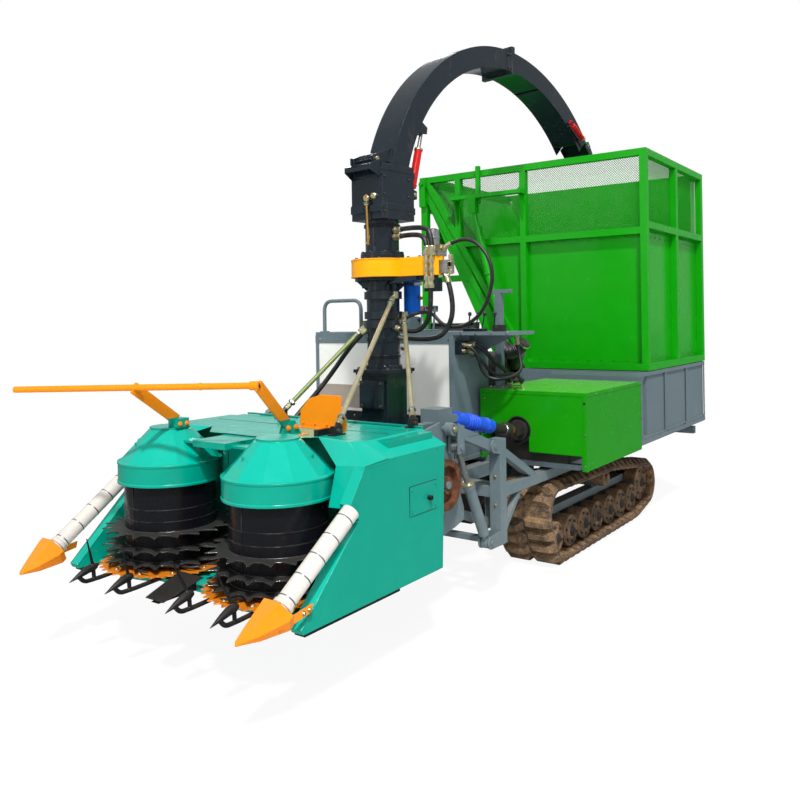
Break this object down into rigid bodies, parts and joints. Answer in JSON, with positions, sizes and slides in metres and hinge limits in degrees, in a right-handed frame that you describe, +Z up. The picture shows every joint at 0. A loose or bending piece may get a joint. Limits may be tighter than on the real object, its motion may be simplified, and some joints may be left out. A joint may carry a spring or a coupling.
{
  "type": "tracked forage harvester",
  "caption": "Rubber-tracked forage harvester with a two-drum row header on a parallel lift, a slewing curved spout, an operator's deck and a side-tipping crop bin.",
  "frame": {"origin": "on the ground, below the middle of the overall bounding box", "axes": "front faces -Y, +X is the machine's left side, +Z is up"},
  "size_m": [1.96, 5.18, 3.47],
  "materials": {
    "teal": "glossy teal enamel, scuffed",
    "orange": "orange enamel",
    "bin_green": "green enamel",
    "cover_green": "green enamel",
    "frame_grey": "grey enamel",
    "dark_slate": "dark slate enamel",
    "yellow": "yellow enamel",
    "red": "red enamel",
    "shaft_blue": "blue plastic guard",
    "filter_blue": "blue enamel",
    "zinc": "yellow passivated zinc",
    "black": "black enamel, worn",
    "white": "white enamel",
    "steel": "bare machined steel",
    "rust": "rusty cast iron",
    "iron": "dark cast iron",
    "track_rubber": "rubber with dried mud",
    "seat_vinyl": "black vinyl",
    "black_plastic": "black plastic"
  },
  "bodies": {
    "chassis": {"chassis_frame": "frame_grey", "track_left": "track_rubber", "track_right": "track_rubber", "track_beams": "frame_grey", "track_wheels": "iron", "drive_axle": "iron", "engine_block": "iron", "engine_cover": "cover_green", "lower_box": "frame_grey", "bin_stand": "bin_green", "deck": "frame_grey", "console": "white", "control_panel": "frame_grey", "seat_base": "black", "seat_cushion": "seat_vinyl", "seat_back": "seat_vinyl", "guard_rails": "dark_slate", "light_stand": "frame_grey", "air_intake": "black_plastic"},
    "header": {"header_shell": "teal", "drum_caps": "teal", "header_frame": "frame_grey", "divider_points": "orange", "divider_tubes": "white", "crop_guides": "black", "push_bar": "orange", "feed_guard": "orange", "tower": "dark_slate", "slew_drive": "yellow", "slew_motor": "steel", "oil_filter": "filter_blue", "tower_struts": "zinc"},
    "feed_drum_left": {"feed_drum_left": "black"},
    "feed_drum_right": {"feed_drum_right": "black"},
    "belt_pulley": {"belt_pulley": "rust"},
    "upper_arms": {"upper_arms": "frame_grey"},
    "lower_arms": {"lower_arms": "frame_grey"},
    "lift_cylinders": {"lift_cylinders": "frame_grey"},
    "lift_rods": {"lift_rods": "steel"},
    "slew_ring": {"slew_ring": "yellow"},
    "spout_head": {"spout_head": "dark_slate"},
    "spout": {"spout": "dark_slate"},
    "tilt_cylinder": {"tilt_cylinder": "red"},
    "tilt_rod": {"tilt_rod": "steel"},
    "spout_flap": {"spout_flap": "dark_slate"},
    "flap_cylinder": {"flap_cylinder": "red"},
    "flap_rod": {"flap_rod": "steel"},
    "bin": {"bin_frame": "bin_green", "bin_panels": "bin_green", "bin_mesh": "bin_green"},
    "tip_cylinders": {"tip_cylinders": "bin_green"},
    "tip_rods": {"tip_rods": "bin_green"},
    "pto_tube": {"pto_tube": "iron"},
    "pto_sleeve": {"pto_sleeve": "shaft_blue"}
  },
  "joints": [
    {"name": "header_lift", "type": "hinge", "parent": "chassis", "child": "upper_arms", "pos_m": [0, -0.64, 0.862], "axis": [-1, 0, 0], "range_deg": [-33, 12]},
    {"name": "header_level", "type": "hinge", "parent": "upper_arms", "child": "header", "pos_m": [0, -1.043, 1.006], "axis": [-1, 0, 0], "range_deg": [-12.5, 33.5]},
    {"name": "lower_arm_pivot", "type": "hinge", "parent": "chassis", "child": "lower_arms", "pos_m": [0, -0.477, 0.386], "axis": [-1, 0, 0], "range_deg": [-33.5, 12.5]},
    {"name": "lift_cylinder_pivot", "type": "hinge", "parent": "chassis", "child": "lift_cylinders", "pos_m": [0, -0.69, 0.336], "axis": [-1, 0, 0], "range_deg": [-9, 3.5]},
    {"name": "lift_rod_slide", "type": "slide", "parent": "lift_cylinders", "child": "lift_rods", "axis": [0, -0.4621, 0.8868], "range_m": [-0.19, 0.07]},
    {"name": "drum_left_spin", "type": "hinge", "parent": "header", "child": "feed_drum_left", "pos_m": [0.369, -2.006, 0.6], "axis": [0, 0, 1], "continuous": true},
    {"name": "drum_right_spin", "type": "hinge", "parent": "header", "child": "feed_drum_right", "pos_m": [-0.369, -2.006, 0.6], "axis": [0, 0, 1], "continuous": true},
    {"name": "pulley_spin", "type": "hinge", "parent": "header", "child": "belt_pulley", "pos_m": [0.65, -1.12, 0.733], "axis": [1, 0, 0], "continuous": true},
    {"name": "spout_swing", "type": "hinge", "parent": "header", "child": "slew_ring", "pos_m": [0, -0.747, 1.945], "axis": [0, 0, 1], "range_deg": [-1, 91]},
    {"name": "spout_slew", "type": "hinge", "parent": "slew_ring", "child": "spout_head", "pos_m": [0, -0.747, 1.96], "axis": [0, 0, 1], "range_deg": [-84, 96]},
    {"name": "spout_tilt", "type": "hinge", "parent": "spout_head", "child": "spout", "pos_m": [-0.01453, -0.88524, 2.502], "axis": [0.9945, -0.1045, 0], "range_deg": [-8, 18]},
    {"name": "tilt_cylinder_pivot", "type": "hinge", "parent": "spout_head", "child": "tilt_cylinder", "pos_m": [0.08885, -0.57132, 2.325], "axis": [0.9945, -0.1045, 0], "range_deg": [-7, 14.5]},
    {"name": "tilt_rod_slide", "type": "slide", "parent": "tilt_cylinder", "child": "tilt_rod", "axis": [0.0267, 0.2545, 0.9667], "range_m": [-0.055, 0.115]},
    {"name": "flap_swing", "type": "hinge", "parent": "spout", "child": "spout_flap", "pos_m": [0.2401, 1.53742, 2.99], "axis": [0.9945, -0.1045, 0], "range_deg": [-30, 25]},
    {"name": "flap_cylinder_pivot", "type": "hinge", "parent": "spout", "child": "flap_cylinder", "pos_m": [0.34232, 1.22804, 3.075], "axis": [0.9945, -0.1045, 0], "range_deg": [-1, 1]},
    {"name": "flap_rod_slide", "type": "slide", "parent": "flap_cylinder", "child": "flap_rod", "axis": [0.0919, 0.8747, -0.4759], "range_m": [-0.038, 0.032]},
    {"name": "bin_tip", "type": "hinge", "parent": "chassis", "child": "bin", "pos_m": [-0.935, 1.8, 2.712], "axis": [0, -1, 0], "range_deg": [0, 60]},
    {"name": "tip_cylinder_pivot", "type": "hinge", "parent": "chassis", "child": "tip_cylinders", "pos_m": [-0.076, 1.8, 1.14], "axis": [0, -1, 0], "range_deg": [-4, 0.5]},
    {"name": "tip_rod_slide", "type": "slide", "parent": "tip_cylinders", "child": "tip_rods", "axis": [-0.245, 0, 0.9695], "range_m": [-0.005, 0.59]},
    {"name": "shaft_swing", "type": "hinge", "parent": "chassis", "child": "pto_tube", "pos_m": [0.525, -0.13, 0.871], "axis": [-1, 0, 0], "range_deg": [-21.5, 8.5]},
    {"name": "shaft_slide", "type": "slide", "parent": "pto_tube", "child": "pto_sleeve", "axis": [-0.0662, -0.9707, 0.2309], "range_m": [-0.004, 0.009]}
  ],
  "couplings": [
    {"joint": "header_level", "follows": "header_lift", "ratio": -1},
    {"joint": "lower_arm_pivot", "follows": "header_lift", "ratio": 1},
    {"joint": "lift_cylinder_pivot", "follows": "header_lift", "ratio": 0.2587},
    {"joint": "lift_rod_slide", "follows": "header_lift", "m_per_rad": 0.31018},
    {"joint": "shaft_swing", "follows": "header_lift", "ratio": 0.6256},
    {"joint": "shaft_slide", "follows": "header_lift", "m_per_rad": -0.0122},
    {"joint": "spout_swing", "follows": "bin_tip", "ratio": 1.5},
    {"joint": "tip_cylinder_pivot", "follows": "bin_tip", "ratio": -0.05343},
    {"joint": "tip_rod_slide", "follows": "bin_tip", "m_per_rad": 0.5562},
    {"joint": "tilt_cylinder_pivot", "follows": "spout_tilt", "ratio": 0.74849},
    {"joint": "tilt_rod_slide", "follows": "spout_tilt", "m_per_rad": 0.34803},
    {"joint": "flap_cylinder_pivot", "follows": "flap_swing", "ratio": 0.0137},
    {"joint": "flap_rod_slide", "follows": "flap_swing", "m_per_rad": 0.064937}
  ]
}
